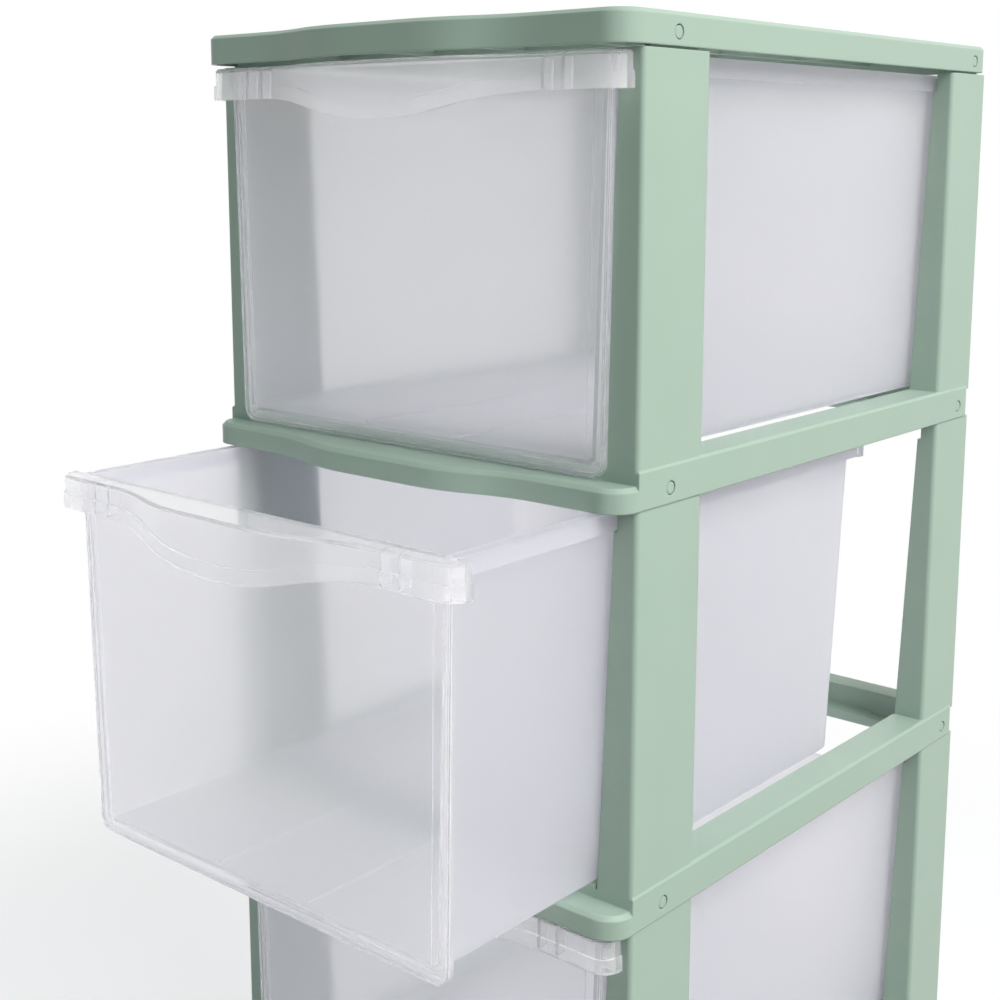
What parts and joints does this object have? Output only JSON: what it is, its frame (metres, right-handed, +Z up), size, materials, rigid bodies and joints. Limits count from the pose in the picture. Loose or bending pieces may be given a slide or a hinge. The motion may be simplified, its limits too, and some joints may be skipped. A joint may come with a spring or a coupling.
{
  "type": "drawer tower",
  "caption": "Free-standing plastic drawer tower: open green frames stacked with posts, and translucent drawers with a bowed front and a full-width grip.",
  "frame": {"origin": "centre of the base, under the middle of the tower with its middle drawer standing open", "axes": "+Z up, drawers open towards -Y, +X to the right seen from the front"},
  "size_m": [0.302, 0.5116, 0.6842],
  "materials": {
    "frame_plastic": "fine matt moulded texture, sage green",
    "drawer_plastic": "translucent, smooth front and frosted sides"
  },
  "bodies": {
    "tower": {"top_panel": "frame_plastic", "upper_frame": "frame_plastic", "middle_frame": "frame_plastic", "lower_frame": "frame_plastic", "foot_front_left": "frame_plastic", "foot_front_right": "frame_plastic", "foot_rear_left": "frame_plastic", "foot_rear_right": "frame_plastic"},
    "upper_slider": {"upper_drawer": "drawer_plastic"},
    "middle_slider": {"middle_drawer": "drawer_plastic"},
    "lower_slider": {"lower_drawer": "drawer_plastic"}
  },
  "joints": [
    {"name": "upper_slide", "type": "slide", "parent": "tower", "child": "upper_slider", "axis": [0, -1, 0], "range_m": [0, 0.3]},
    {"name": "middle_slide", "type": "slide", "parent": "tower", "child": "middle_slider", "axis": [0, -1, 0], "range_m": [-0.112, 0.188]},
    {"name": "lower_slide", "type": "slide", "parent": "tower", "child": "lower_slider", "axis": [0, -1, 0], "range_m": [0, 0.3]}
  ]
}
